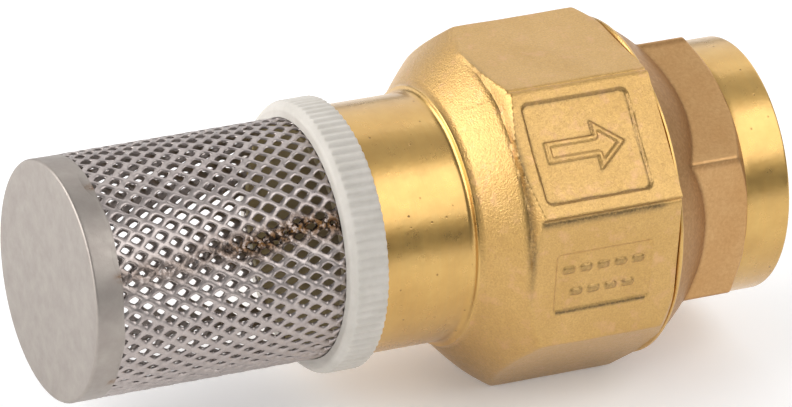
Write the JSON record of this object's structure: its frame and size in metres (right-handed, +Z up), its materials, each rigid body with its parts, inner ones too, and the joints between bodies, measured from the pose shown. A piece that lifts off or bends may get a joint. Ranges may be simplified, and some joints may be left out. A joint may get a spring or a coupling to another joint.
{
  "type": "foot valve",
  "caption": "Brass foot valve: a sprung check valve with an octagonal body, threaded outlet and a screw-on stainless suction strainer.",
  "frame": {"origin": "centre of the outlet mouth", "axes": "+X along the flow and out of the outlet, +Z up with the valve lying on one flat of its octagonal body, -Y the marked side"},
  "size_m": [0.1183, 0.054, 0.054],
  "materials": {
    "forged_brass": "shot-blasted forging with a turned neck",
    "outlet_brass": "shot-blasted forging with a turned end",
    "nitrile_rubber": "moulded",
    "acetal": "moulded",
    "spring_steel": "drawn wire",
    "stem_steel": "turned",
    "white_nylon": "moulded, slightly translucent",
    "sieve_steel": "bright expanded sheet",
    "cap_steel": "satin pressed sheet"
  },
  "bodies": {
    "valve_body": {"inlet_body": "forged_brass", "outlet_body": "outlet_brass", "body_o_ring": "nitrile_rubber", "stem_guide": "acetal", "return_spring": "spring_steel"},
    "poppet": {"poppet_disc": "acetal", "poppet_seal": "nitrile_rubber", "seal_retainer": "acetal", "guide_stem": "stem_steel", "stem_nut": "stem_steel"},
    "strainer": {"strainer_collar": "white_nylon", "strainer_sieve": "sieve_steel", "strainer_end_cap": "cap_steel"}
  },
  "joints": [
    {"name": "poppet_lift", "type": "slide", "parent": "valve_body", "child": "poppet", "axis": [1, 0, 0], "range_m": [0, 0.008], "stiffness_N_per_m": 200, "springref_m": -0.0075, "deforming": ["return_spring"]},
    {"name": "strainer_unscrew", "type": "slide", "parent": "valve_body", "child": "strainer", "axis": [-1, 0, 0], "range_m": [0, 0.01385]}
  ]
}
